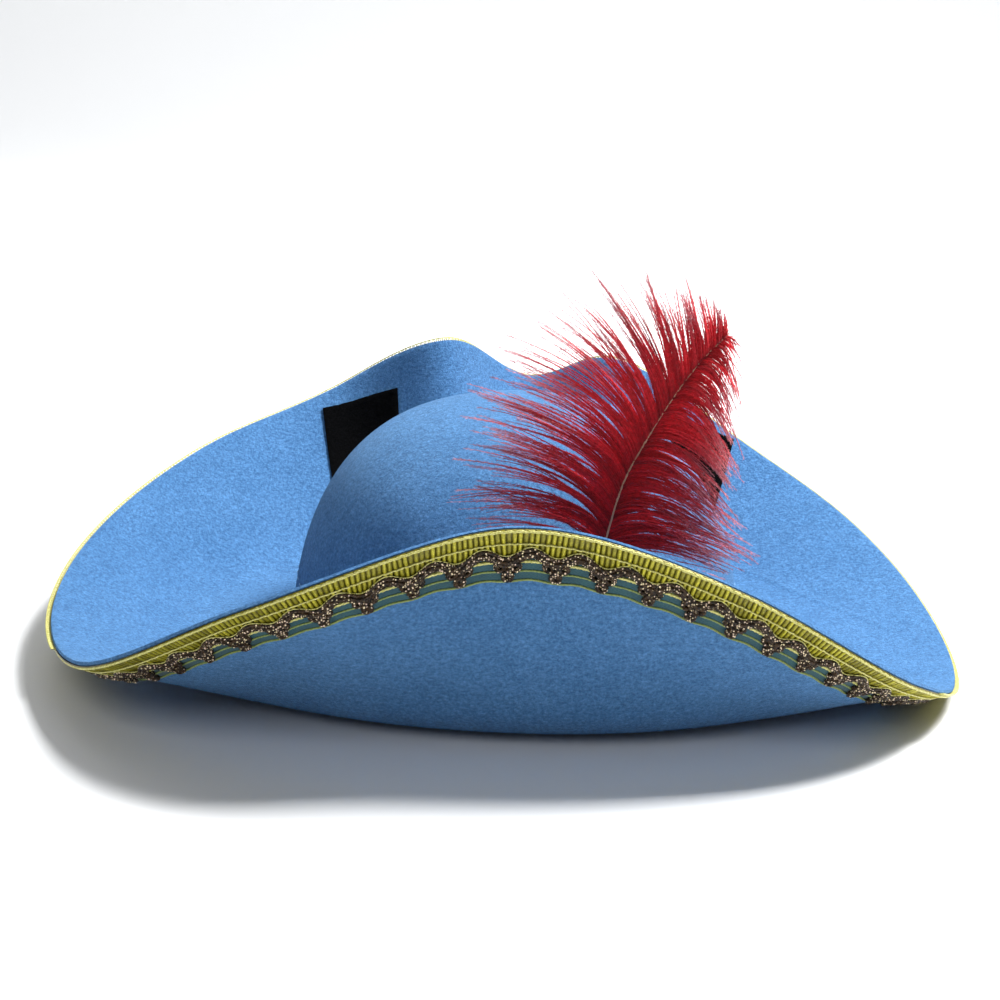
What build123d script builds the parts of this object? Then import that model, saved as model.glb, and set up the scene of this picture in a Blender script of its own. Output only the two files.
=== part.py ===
"""Tricorn pirate hat: moulded felt crown, cocked brim in three flaps, trimmed edge, plume.

Origin: centre of the head opening, on the plane the hat rests on.
+X is the wearer's left, -Y the front flap, +Z up. Bearings are degrees from +X towards +Y.
Left and right in the names are as seen by someone who faces the front flap.
"""
import os
from math import cos, degrees, pi, radians, sin, sqrt

from build123d import *

os.makedirs("parts", exist_ok=True)

# ---------------------------------------------------------------- felt body
FELT = 2.0               # felt thickness
CROWN_HALF_X = 90.0      # crown base, half width, outside
CROWN_HALF_Y = 95.0      # crown base, half length, outside
CROWN_HEIGHT = 98.0
CROWN_POWER = 2.7        # superellipse exponent of the dome's profile
CROWN_TAPER = 5.0        # how far the wall leans in over the full height
CROWN_STEPS = 12         # points along the dome's profile

BRIM_FRONT = 113.0       # brim width at the front and back, along the felt
BRIM_SIDE = 90.0         # mean brim width at the two sides
BRIM_SHIFT = 5.0         # left corner is this much wider, right corner this much narrower
BRIM_RISE = 0.3          # the brim's ledge clears the plane that the crown's rim rests on
LEDGE_FRONT = 2.0        # flat ledge before the fold, front and back
LEDGE_SIDE = 30.0        # flat ledge before the fold, at the sides
FOLD = 29.0              # length of felt in the rounded fold
# how steeply the brim stands (degrees) at each bearing
LIFT = (
    (10, 7), (35, 22), (60, 38), (75, 60), (90, 42), (105, 67), (120, 45), (145, 39),
    (170, 30), (195, 19), (215, 19), (240, 45), (270, 69), (300, 57), (325, 25), (345, 6),
)

# ---------------------------------------------------------------- flaps: name, bearing, distance
FLAPS = (("front", 270, 108.0), ("back_left", 142, 116.0), ("back_right", 38, 116.0))
BODY_GAP = 0.3           # clearance between a flap and the standing brim
JOIN_GAP = 0.1           # glued or sewn faces inside one body

# ---------------------------------------------------------------- edge trim, measured from the felt edge
PICOT = 1.5              # braid loops stand this far past the edge
BRAID_WIDTH = 11.0
BRAID_THICK = 0.9
MESH_WIDTH = 23.0        # lower edge of the sheer band
MESH_THICK = 0.4
GIMP_TOP = 9.0           # the gimp overlaps the braid's lower edge
GIMP_WIDTH = 12.0
GIMP_THICK = 0.8

# ---------------------------------------------------------------- fastening patches
PATCH_WIDTH = 31.0
PATCH_LENGTH = 44.0
PATCH_THICK = 1.5
PATCH_BEARINGS = {"left": 118.5, "right": 61.5}
PATCH_UP = 77.0          # centre, along the felt from the crown
PATCH_TURN = 10.0        # each patch leans this much towards the point at the back
CROWN_PATCH_Z = 42.0

# ---------------------------------------------------------------- inside the crown
BAND_HEIGHT = 29.0       # ribbon sweatband
BAND_THICK = 0.8
BAND_LOW = 1.0
SEAM = 0.9               # thickness of the seam cord round the crown's base
STITCH_LENGTH = 3.0
STITCH = 0.5
STITCH_COUNT = 72
STITCH_DROP = 3.0        # stitch line below the band's top edge
LABEL_WIDTH = 26.0
LABEL_HEIGHT = 14.0
LABEL_THICK = 0.4

# ---------------------------------------------------------------- plume, in its own leaning plane
PLUME_Y = -99.0          # plane's foot, between crown and front flap
PLUME_LEAN = 0.12        # it leans back this much for each unit of height
PLUME_THICK = 5.0        # fluff, front to back
QUILL_DIAMETER = 2.0
QUILL_FOOT = (20.0, 12.0)
QUILL_BEND = (33.0, 76.0)    # the shaft is straight up to here, then bends over
QUILL_TIP = (72.0, 148.0)
VANE_LOW = 50.0          # the fluff starts this high
VANE_GAP = 0.35          # between the shaft and the fluff
VANE_LEFT = ((-14, 72), (-19, 96), (-9, 138), (20, 161), (48, 163))
VANE_RIGHT = ((77, 133), (80, 102), (80, 78), (66, 60))
TACK_LENGTH = 5.0
TACK = 0.8
TACK_HEIGHTS = (20.0, 34.0)

RING_STEPS = 120         # points round the brim
NORMAL_STEP = 0.05       # small step used to find a surface's normal


def lift(bearing):
    """Angle at which the brim stands, a smooth closed curve through LIFT."""
    knots = [(b - 360, v) for b, v in LIFT] + list(LIFT) + [(b + 360, v) for b, v in LIFT]
    i = max(k for k, knot in enumerate(knots) if knot[0] <= bearing % 360)
    (x0, y0), (x1, y1), (x2, y2), (x3, y3) = knots[i - 1 : i + 3]
    before, here, after = (y1 - y0) / (x1 - x0), (y2 - y1) / (x2 - x1), (y3 - y2) / (x3 - x2)
    slope1 = (here * (x1 - x0) + before * (x2 - x1)) / (x2 - x0)
    slope2 = (after * (x2 - x1) + here * (x3 - x2)) / (x3 - x1)
    span = x2 - x1
    u = (bearing % 360 - x1) / span
    ends = (2 * u**3 - 3 * u**2 + 1) * y1 + (3 * u**2 - 2 * u**3) * y2
    return ends + span * ((u**3 - 2 * u**2 + u) * slope1 + (u**3 - u**2) * slope2)


def brim_width(bearing):
    turn = radians(bearing)
    return BRIM_SIDE + (BRIM_FRONT - BRIM_SIDE) * sin(turn) ** 2 - BRIM_SHIFT * cos(turn)


def crown_radius(bearing):
    turn = radians(bearing)
    return 1 / sqrt((cos(turn) / CROWN_HALF_X) ** 2 + (sin(turn) / CROWN_HALF_Y) ** 2)


def under_face(bearing, along):
    """Point of the brim's under face, at a distance along the felt from the crown."""
    turn, steep = radians(bearing), radians(lift(bearing))
    ledge = LEDGE_FRONT + (LEDGE_SIDE - LEDGE_FRONT) * cos(turn) ** 2
    bend_radius = FOLD / steep
    past = max(along - ledge, 0)
    bent = min(past / FOLD, 1) * steep
    straight = max(past - FOLD, 0)
    out = crown_radius(bearing) + min(along, ledge) + bend_radius * sin(bent) + straight * cos(steep)
    height = BRIM_RISE + bend_radius * (1 - cos(bent)) + straight * sin(steep)
    return Vector(out * cos(turn), out * sin(turn), height)


def brim_normal(bearing, along):
    """Unit normal towards the upper, inner side of the brim."""
    outward = under_face(bearing, along + NORMAL_STEP) - under_face(bearing, max(along - NORMAL_STEP, 0))
    around = under_face(bearing + NORMAL_STEP, along) - under_face(bearing - NORMAL_STEP, along)
    return outward.cross(around).normalized()


def brim_point(bearing, along, offset):
    return under_face(bearing, along) + brim_normal(bearing, along) * offset


def brim_ring(inner, outer, low, high, steps):
    """Closed ring of the brim between two widths (functions of bearing) and two offsets."""
    skins = []
    for offset in (low, high):
        rows = []
        for i in range(RING_STEPS + 1):
            bearing = 360 * i / RING_STEPS
            start, end = inner(bearing), outer(bearing)
            rows.append(
                [brim_point(bearing, start + (end - start) * j / steps, offset) for j in range(steps + 1)]
            )
        skins.append(Face.make_surface_from_array_of_points(rows, tol=1e-3, min_deg=3, max_deg=8))
    rims = [pair for pair in zip(skins[0].edges(), skins[1].edges()) if pair[0].is_closed]
    walls = [Face.make_surface_from_curves(under, over) for under, over in rims]
    return Solid(Shell(skins + walls))


def trim_ring(top, bottom, low, high):
    """Ring of trim on the under face, between two distances from the felt edge."""
    return brim_ring(lambda b: brim_width(b) - bottom, lambda b: brim_width(b) - top, low, high, 3)


def flap_plane(bearing, distance):
    """Upright plane that cuts a flap from the brim; its normal points outwards."""
    outward = Vector(cos(radians(bearing)), sin(radians(bearing)), 0)
    return Plane(origin=outward * distance, z_dir=outward)


def save(part, name):
    part.label = name
    export_step(part, f"parts/{name}.step")
    print(name, round(part.volume, 1))


# trim layers, stacked outwards from the under face
BRAID_LIFT = JOIN_GAP + BRAID_THICK
GIMP_LIFT = BRAID_LIFT + JOIN_GAP

# ---------------------------------------------------------------- crown


def dome_profile(inset):
    """Half profile of the dome, from its base up to its top, inset by a wall thickness."""
    points = []
    for i in range(CROWN_STEPS + 1):
        turn = pi / 2 * i / CROWN_STEPS
        height = (CROWN_HEIGHT - inset) * sin(turn) ** (2 / CROWN_POWER)
        reach = CROWN_HALF_X - inset - CROWN_TAPER * height / CROWN_HEIGHT
        points.append((reach * max(cos(turn), 0) ** (2 / CROWN_POWER), height))
    points[-1] = (0, points[-1][1])
    return points


def dome_shell(outer, inner):
    """Sketch of the dome's wall between two insets, running a little below the base plane."""
    with BuildSketch(Plane.XZ) as wall:
        with BuildLine():
            outside = Spline(*dome_profile(outer), tangents=[(0, 1), (-1, 0)])
            inside = Spline(*dome_profile(inner), tangents=[(0, 1), (-1, 0)])
            Line(outside @ 1, inside @ 1)
            Polyline(
                outside @ 0, outside @ 0 - Vector(0, FELT), inside @ 0 - Vector(0, FELT), inside @ 0
            )
        make_face()
    return wall.sketch


OVAL = (1, CROWN_HALF_Y / CROWN_HALF_X, 1)

with BuildPart() as crown:
    add(dome_shell(0, FELT))
    revolve(axis=Axis.Z)
    scale(by=OVAL)
    split(bisect_by=Plane.XY, keep=Keep.TOP)
save(crown.part, "crown")


def crown_layer(outer, inner, low, high):
    """Layer lying on the crown's wall between two heights."""
    with BuildPart() as layer:
        add(dome_shell(outer, inner))
        revolve(axis=Axis.Z)
        scale(by=OVAL)
        split(bisect_by=Plane.XY.offset(low), keep=Keep.TOP)
        split(bisect_by=Plane.XY.offset(high), keep=Keep.BOTTOM)
    return layer.part


band_outer = FELT + JOIN_GAP
band_top = BAND_LOW + BAND_HEIGHT
save(crown_layer(band_outer, band_outer + BAND_THICK, BAND_LOW, band_top), "sweatband")

label_outer = band_outer + BAND_THICK + JOIN_GAP
with BuildPart() as size_label:
    label_low = BAND_LOW + (BAND_HEIGHT - STITCH_DROP - LABEL_HEIGHT) / 2
    add(crown_layer(label_outer, label_outer + LABEL_THICK, label_low, label_low + LABEL_HEIGHT))
    with Locations((0, CROWN_HALF_Y, label_low + LABEL_HEIGHT / 2)):
        Box(LABEL_WIDTH, CROWN_HALF_Y, 2 * LABEL_HEIGHT, mode=Mode.INTERSECT)
save(size_label.part, "size_label")


def stitch_places():
    """Evenly pitched places on the inner face of the sweatband, near its top edge."""
    height = band_top - STITCH_DROP
    lean = CROWN_TAPER * height / CROWN_HEIGHT
    rise = (height / (CROWN_HEIGHT - label_outer)) ** CROWN_POWER
    reach = (CROWN_HALF_X - label_outer - lean) * (1 - rise) ** (1 / CROWN_POWER) - STITCH / 2
    places = []
    for i in range(STITCH_COUNT):
        turn = 2 * pi * i / STITCH_COUNT
        x, y = reach * cos(turn), reach * sin(turn) * OVAL[1]
        places.append(Location((x, y, height), (0, 0, degrees(turn))))
    return places


with BuildPart() as sweatband_stitches:
    with Locations(*stitch_places()):
        Box(STITCH, STITCH_LENGTH, STITCH)
save(sweatband_stitches.part, "sweatband_stitches")

with BuildPart() as crown_seam:
    with BuildSketch(Plane.XY.offset(BRIM_RISE + FELT + 2 * JOIN_GAP)):
        Ellipse(CROWN_HALF_X + JOIN_GAP + SEAM, CROWN_HALF_Y + JOIN_GAP + SEAM)
        Ellipse(CROWN_HALF_X + JOIN_GAP, CROWN_HALF_Y + JOIN_GAP, mode=Mode.SUBTRACT)
    extrude(amount=SEAM)
save(crown_seam.part, "crown_seam")

# ---------------------------------------------------------------- brim and its trim

LAYERS = {
    "felt": brim_ring(lambda b: JOIN_GAP, brim_width, 0, FELT, 14),
    "mesh": trim_ring(BRAID_WIDTH + JOIN_GAP, MESH_WIDTH, -JOIN_GAP - MESH_THICK, -JOIN_GAP),
    "braid": trim_ring(-PICOT, BRAID_WIDTH, -BRAID_LIFT, -JOIN_GAP),
    "gimp": trim_ring(GIMP_TOP, GIMP_TOP + GIMP_WIDTH, -GIMP_LIFT - GIMP_THICK, -GIMP_LIFT),
}

for layer_name, layer in LAYERS.items():
    for flap_name, bearing, distance in FLAPS:
        with BuildPart() as flap_piece:
            add(layer)
            split(bisect_by=flap_plane(bearing, distance), keep=Keep.TOP)
        save(flap_piece.part, f"{flap_name}_{layer_name}")
    with BuildPart() as standing_piece:
        add(layer)
        for flap_name, bearing, distance in FLAPS:
            split(bisect_by=flap_plane(bearing, distance - BODY_GAP), keep=Keep.BOTTOM)
    save(standing_piece.part, f"brim_{layer_name}" if layer_name == "felt" else f"corner_{layer_name}")

# ---------------------------------------------------------------- hook and loop patches

patch_layer = brim_ring(
    lambda b: PATCH_UP - PATCH_LENGTH,
    lambda b: PATCH_UP + PATCH_LENGTH * 2 / 3,
    FELT + JOIN_GAP,
    FELT + JOIN_GAP + PATCH_THICK,
    8,
)
hook_low = CROWN_PATCH_Z - PATCH_LENGTH / 2
hook_layer = crown_layer(-JOIN_GAP - PATCH_THICK, -JOIN_GAP, hook_low, hook_low + PATCH_LENGTH)

for side, bearing in PATCH_BEARINGS.items():
    lean = -PATCH_TURN if side == "left" else PATCH_TURN
    middle = brim_point(bearing, PATCH_UP, FELT)
    up_brim = under_face(bearing, PATCH_UP + 1) - under_face(bearing, PATCH_UP - 1)
    upright = Plane(origin=middle, x_dir=up_brim, z_dir=brim_normal(bearing, PATCH_UP))
    with BuildPart() as loop_patch:
        add(patch_layer)
        with Locations(upright.rotated((0, 0, lean))):
            Box(PATCH_LENGTH, PATCH_WIDTH, 10 * PATCH_THICK, mode=Mode.INTERSECT)
    save(loop_patch.part, f"loop_patch_{side}")

    outward = Vector(cos(radians(bearing)), sin(radians(bearing)), 0)
    on_crown = outward * crown_radius(bearing) + Vector(0, 0, CROWN_PATCH_Z)
    with BuildPart() as hook_patch:
        add(hook_layer)
        with Locations(Plane(origin=on_crown, x_dir=(0, 0, 1), z_dir=outward)):
            Box(2 * PATCH_LENGTH, PATCH_WIDTH, CROWN_HALF_X, mode=Mode.INTERSECT)
    save(hook_patch.part, f"hook_patch_{side}")

# ---------------------------------------------------------------- plume

PLUME_PLANE = Plane(origin=(0, PLUME_Y, 0), x_dir=(1, 0, 0), z_dir=(0, -1, PLUME_LEAN))


def shaft_curves():
    """The shaft's centre line in the plume's plane: a straight run, then an arc."""
    run = Line(QUILL_FOOT, QUILL_BEND, mode=Mode.PRIVATE)
    return run, TangentArc(QUILL_BEND, QUILL_TIP, tangent=run % 1, mode=Mode.PRIVATE)


with BuildPart() as feather_quill:
    with BuildLine(PLUME_PLANE) as shaft:
        for curve in shaft_curves():
            add(curve)
    with BuildSketch(Plane(origin=shaft.line @ 0, z_dir=shaft.line % 0)):
        Circle(QUILL_DIAMETER / 2)
    sweep(path=shaft.line)
save(feather_quill.part, "feather_quill")


def vane(outline, name, side):
    """Fluff on one side of the shaft; side is +1 to the shaft's left."""
    clear = side * (QUILL_DIAMETER / 2 + VANE_GAP)
    with BuildPart() as fluff:
        with BuildSketch(PLUME_PLANE.offset(-PLUME_THICK / 2)):
            with BuildLine():
                run, arc = shaft_curves()
                start = (VANE_LOW - QUILL_FOOT[1]) / (QUILL_BEND[1] - QUILL_FOOT[1])
                edge = []
                places = ((run, start), (run, 0.8), (arc, 0.1), (arc, 0.35), (arc, 0.7), (arc, 0.97))
                for path, at in places:
                    tangent = path % at
                    edge.append(path @ at + Vector(-tangent.Y, tangent.X) * clear)
                inner = Spline(*edge)
                Spline(inner @ 0, *(outline if side > 0 else outline[::-1]), inner @ 1)
            make_face()
        extrude(amount=PLUME_THICK)
    save(fluff.part, name)


vane(VANE_LEFT, "feather_vane_left", 1)
vane(VANE_RIGHT, "feather_vane_right", -1)

with BuildPart() as feather_tack:
    foot, bend = Vector(*QUILL_FOOT), Vector(*QUILL_BEND)
    for height in TACK_HEIGHTS:
        place = foot + (bend - foot) * ((height - foot.Y) / (bend.Y - foot.Y))
        with BuildSketch(PLUME_PLANE.offset(-QUILL_DIAMETER / 2 - JOIN_GAP - TACK)):
            with Locations((place.X, place.Y)):
                Rectangle(TACK_LENGTH + 2 * QUILL_DIAMETER, TACK)
        extrude(amount=TACK)
save(feather_tack.part, "feather_tack")
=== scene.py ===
"""Looks of the tricorn pirate hat: felt, lace trim, patches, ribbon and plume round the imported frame."""
import math

import bpy
import numpy as np
from mathutils import Matrix, Vector


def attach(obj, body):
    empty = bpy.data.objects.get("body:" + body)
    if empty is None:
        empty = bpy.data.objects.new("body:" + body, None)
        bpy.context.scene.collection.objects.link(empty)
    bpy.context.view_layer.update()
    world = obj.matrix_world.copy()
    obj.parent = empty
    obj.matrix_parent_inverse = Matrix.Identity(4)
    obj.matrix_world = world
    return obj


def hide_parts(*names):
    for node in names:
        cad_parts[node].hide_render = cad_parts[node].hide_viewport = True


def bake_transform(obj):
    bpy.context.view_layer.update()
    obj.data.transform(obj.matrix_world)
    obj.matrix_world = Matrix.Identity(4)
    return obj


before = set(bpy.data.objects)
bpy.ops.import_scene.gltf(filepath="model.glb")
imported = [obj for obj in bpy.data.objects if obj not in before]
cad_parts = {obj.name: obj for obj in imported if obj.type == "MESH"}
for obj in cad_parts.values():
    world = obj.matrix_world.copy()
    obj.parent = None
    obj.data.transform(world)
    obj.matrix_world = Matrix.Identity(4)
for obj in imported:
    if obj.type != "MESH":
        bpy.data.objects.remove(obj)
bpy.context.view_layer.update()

MM = 0.001
rng = np.random.default_rng(7)

# ------------------------------------------------------------------ sizes, in millimetres
FELT = 2.0
CROWN_HALF_X, CROWN_HALF_Y, CROWN_HEIGHT = 90.0, 95.0, 98.0
CROWN_POWER, CROWN_TAPER = 2.7, 5.0
BRIM_FRONT, BRIM_SIDE, BRIM_SHIFT = 113.0, 90.0, 5.0
BRIM_RISE, LEDGE_FRONT, LEDGE_SIDE, FOLD = 0.3, 2.0, 30.0, 29.0
# the standing brim's angle to the ground: bearing and degrees
LIFT = (
    (10, 7), (35, 22), (60, 38), (75, 60), (90, 42), (105, 67), (120, 45), (145, 39),
    (170, 30), (195, 19), (215, 19), (240, 45), (270, 69), (300, 57), (325, 25), (345, 6),
)
# the pressed line inside the right brim: bearing and distance out from the crown
PRESSED_LINE = ((4, 69), (7.3, 64.3), (16.7, 52.7), (28.6, 43.4), (40.2, 39.4), (44, 38.5))
FRONT_MARK = 264.7       # bearing of the front's upright fold mark
# each flap: name, bearing and distance of its fold, then the sector of brim that belongs to it
SECTORS = (
    ("front", 270.0, 108.0, 206.0, 331.0),
    ("back_right", 38.0, 116.0, -29.0, 90.0),
    ("back_left", 142.0, 116.0, 90.0, 206.0),
)
TRIM_GAP = 0.12          # between the felt and the trim on it
BRAID_WIDTH, RIB_PITCH = 11.4, 1.9
NET_TOP, NET_LOW = 11.0, 22.2
PENDANT_PITCH, PENDANT_TOP = 17.0, 13.0
PATCH_WIDTH, PATCH_LENGTH, PATCH_THICK = 31.0, 44.0, 1.5
PATCH_UP, PATCH_TURN, CROWN_PATCH_Z = 77.0, 10.0, 42.0
# each pair of patches: side, bearing, sense of the lean and the flap under the loop patch
PATCHES = (("left", 118.5, -1, SECTORS[2]), ("right", 61.5, 1, SECTORS[1]))
BAND_HEIGHT, BAND_LOW, BAND_GAP = 29.0, 1.0, 0.5
STITCHES, STITCH_HALF, STITCH_INSET = 144, 1.7, 3.0
LABEL_HALF, LABEL_LOW, LABEL_HEIGHT = 13.0, 7.0, 14.0
SEAM_GAP, SEAM_Z, SEAM_RADIUS = 0.75, 3.1, 0.55
FLOOR_Z = -1.0
PLUME_Y, PLUME_LEAN = -99.0, 0.12
TACK_HEIGHTS, TACK_HALF = (20.0, 34.0), 4.2


# ------------------------------------------------------------------ the hat's surfaces


def lift(bearing):
    """Angle at which the brim stands, in degrees, smooth through LIFT."""
    b, v = np.array(LIFT, float).T
    b = np.concatenate([b - 360, b, b + 360])
    v = np.tile(v, 3)
    here = np.mod(bearing, 360)
    i = np.searchsorted(b, here, side="right") - 1
    x0, x1, x2, x3 = b[i - 1], b[i], b[i + 1], b[i + 2]
    y0, y1, y2, y3 = v[i - 1], v[i], v[i + 1], v[i + 2]
    before, mid, after = (y1 - y0) / (x1 - x0), (y2 - y1) / (x2 - x1), (y3 - y2) / (x3 - x2)
    m1 = (mid * (x1 - x0) + before * (x2 - x1)) / (x2 - x0)
    m2 = (after * (x2 - x1) + mid * (x3 - x2)) / (x3 - x1)
    span = x2 - x1
    u = (here - x1) / span
    ends = (2 * u**3 - 3 * u**2 + 1) * y1 + (3 * u**2 - 2 * u**3) * y2
    return ends + span * ((u**3 - 2 * u**2 + u) * m1 + (u**3 - u**2) * m2)


def brim_width(bearing):
    """Distance from the crown to the brim's edge along the felt."""
    turn = np.radians(bearing)
    return BRIM_SIDE + (BRIM_FRONT - BRIM_SIDE) * np.sin(turn) ** 2 - BRIM_SHIFT * np.cos(turn)


def crown_radius(bearing):
    turn = np.radians(bearing)
    return 1 / np.sqrt((np.cos(turn) / CROWN_HALF_X) ** 2 + (np.sin(turn) / CROWN_HALF_Y) ** 2)


def under_face(bearing, along):
    """Points of the brim's under face: a level ledge, a rounded fold, then straight up and out."""
    turn, steep = np.radians(bearing), np.radians(lift(bearing))
    ledge = LEDGE_FRONT + (LEDGE_SIDE - LEDGE_FRONT) * np.cos(turn) ** 2
    radius = FOLD / steep
    past = np.maximum(along - ledge, 0)
    bent = np.minimum(past / FOLD, 1) * steep
    straight = np.maximum(past - FOLD, 0)
    out = crown_radius(bearing) + np.minimum(along, ledge)
    out = out + radius * np.sin(bent) + straight * np.cos(steep)
    height = BRIM_RISE + radius * (1 - np.cos(bent)) + straight * np.sin(steep)
    return np.stack([out * np.cos(turn), out * np.sin(turn), height], -1)


def relief(bearing, along):
    """Softness of felt: low waves, the front's upright fold mark and a pressed line inside the right."""
    turn = np.radians(bearing)
    waves = 0.3 * np.sin(7 * turn + 0.05 * along) + 0.2 * np.sin(13 * turn - 0.04 * along + 1)
    mark = 1.5 * np.exp(-np.sqrt((bearing - FRONT_MARK) ** 2 + 0.1) / 3.0)
    mark = mark * np.exp(-(((along - 62) / 26) ** 4))
    side = np.mod(bearing + 180, 360) - 180
    line = np.interp(side, *np.array(PRESSED_LINE, float).T)
    ends = np.clip((side - 5) / 3, 0, 1) * np.clip((42 - side) / 3, 0, 1)
    pressed = 0.55 * np.exp(-(((along - line) / 1.1) ** 2)) * ends
    return np.clip((along - 22) / 30, 0, 1) * waves - mark + pressed


def unit(v):
    return v / np.linalg.norm(v, axis=-1, keepdims=True)


def brim_normal(bearing, along):
    e = 0.2
    outward = under_face(bearing, along + e) - under_face(bearing, np.maximum(along - e, 0))
    around = under_face(bearing + e, along) - under_face(bearing - e, along)
    return unit(np.cross(outward, around))


def brim_at(bearing, along, offset):
    """Points of the brim; offset is measured from the under face towards the inside."""
    bearing, along = np.broadcast_arrays(np.asarray(bearing, float), np.asarray(along, float))
    normal = brim_normal(bearing, along)
    away = np.asarray(offset, float) + relief(np.mod(bearing, 360), along)
    return under_face(bearing, along) + normal * away[..., None]


def crown_at(turn, share, inset):
    """Points of the crown's wall; share runs from 0 at the base to 1 at the top."""
    rise = np.sin(share * math.pi / 2) ** (2 / CROWN_POWER)
    height = (CROWN_HEIGHT - inset) * rise
    reach = CROWN_HALF_X - inset - CROWN_TAPER * height / CROWN_HEIGHT
    reach = reach * np.maximum(np.cos(share * math.pi / 2), 0) ** (2 / CROWN_POWER)
    return np.stack(
        [reach * np.cos(turn), reach * np.sin(turn) * CROWN_HALF_Y / CROWN_HALF_X, height + 0 * turn], -1
    )


# ------------------------------------------------------------------ mesh helpers


def make_object(name, verts, faces, material, sharp=None):
    """An object from points in millimetres; edges sharper than the given degrees stay sharp."""
    mesh = bpy.data.meshes.new(name)
    faces = faces.tolist() if hasattr(faces, "tolist") else faces
    mesh.from_pydata((np.asarray(verts) * MM).tolist(), [], faces)
    mesh.validate()
    mesh.shade_smooth()
    if sharp:
        mesh.set_sharp_from_angle(angle=math.radians(sharp))
    mesh.materials.append(material)
    obj = bpy.data.objects.new(name, mesh)
    bpy.context.scene.collection.objects.link(obj)
    return obj


def grid_faces(n, m, start=0, wrap=False, flip=False):
    """Four-sided faces of a grid of n by m points, numbered from start."""
    i = np.arange(n if wrap else n - 1)[:, None]
    j = np.arange(m - 1)[None, :]
    k = (i + 1) % n
    quad = np.stack([i * m + j, k * m + j, k * m + j + 1, i * m + j + 1], -1).reshape(-1, 4) + start
    return quad[:, ::-1] if flip else quad


def slab(name, under, over, material, wrap=False, sharp=50):
    """Closed sheet between two grids of points; with wrap the grids close in their first direction."""
    n, m = under.shape[:2]
    size = n * m
    faces = [grid_faces(n, m, 0, wrap, True), grid_faces(n, m, size, wrap)]
    i = np.arange(n if wrap else n - 1)
    k = (i + 1) % n
    faces.append(np.stack([i * m, k * m, k * m + size, i * m + size], -1))
    faces.append(np.stack([i * m, k * m, k * m + size, i * m + size], -1)[:, ::-1] + (m - 1))
    if not wrap:
        j = np.arange(m - 1)
        cap = np.stack([j, j + size, j + 1 + size, j + 1], -1)
        faces += [cap, cap[:, ::-1] + (n - 1) * m]
    verts = np.concatenate([under.reshape(-1, 3), over.reshape(-1, 3)])
    return make_object(name, verts, np.concatenate(faces), material, sharp)


def across_path(path, closed):
    """Two directions across a path at each of its points, steady along it."""
    if closed:
        tangent = unit(np.roll(path, -1, 0) - np.roll(path, 1, 0))
        steady = np.array([0.0, 0.0, 1.0])
    else:
        tangent = unit(np.gradient(path, axis=0))
        steady = np.array([0.13, 0.21, 0.97])
    side = unit(np.cross(tangent, steady))
    return side, np.cross(tangent, side)


def tube_mesh(path, radius, sides=8, strands=0, twist=0.0, closed=False):
    """Vertices and faces of a tube; strands and twist cut it like a twisted thread."""
    path = np.asarray(path, float)
    side, over = across_path(path, closed)
    step = np.linalg.norm(np.diff(path, axis=0), axis=1)
    run = np.concatenate([[0], np.cumsum(step)])
    angle = np.linspace(0, 2 * math.pi, sides, endpoint=False)
    radius = np.broadcast_to(np.asarray(radius, float), (len(path),))[:, None]
    if strands:
        radius = radius * (1 + 0.28 * np.cos(strands * (angle[None, :] + run[:, None] * twist)))
    ring = path[:, None] + radius[..., None] * (
        side[:, None] * np.cos(angle)[None, :, None] + over[:, None] * np.sin(angle)[None, :, None]
    )
    n = len(path)
    i = np.arange(n if closed else n - 1)[:, None]
    j = np.arange(sides)[None, :]
    k, past = (i + 1) % n, (j + 1) % sides
    faces = np.stack([i * sides + j, i * sides + past, k * sides + past, k * sides + j], -1)
    faces = faces.reshape(-1, 4).tolist()
    if not closed:
        faces.append(list(range(sides))[::-1])
        faces.append([(n - 1) * sides + j for j in range(sides)])
    return ring.reshape(-1, 3), faces


def joined(parts):
    """Points and faces of several parts as one."""
    verts, faces, start = [], [], 0
    for v, f in parts:
        verts.append(v)
        faces += [[start + i for i in face] for face in f]
        start += len(v)
    return np.concatenate(verts), faces


# ------------------------------------------------------------------ materials


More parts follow.
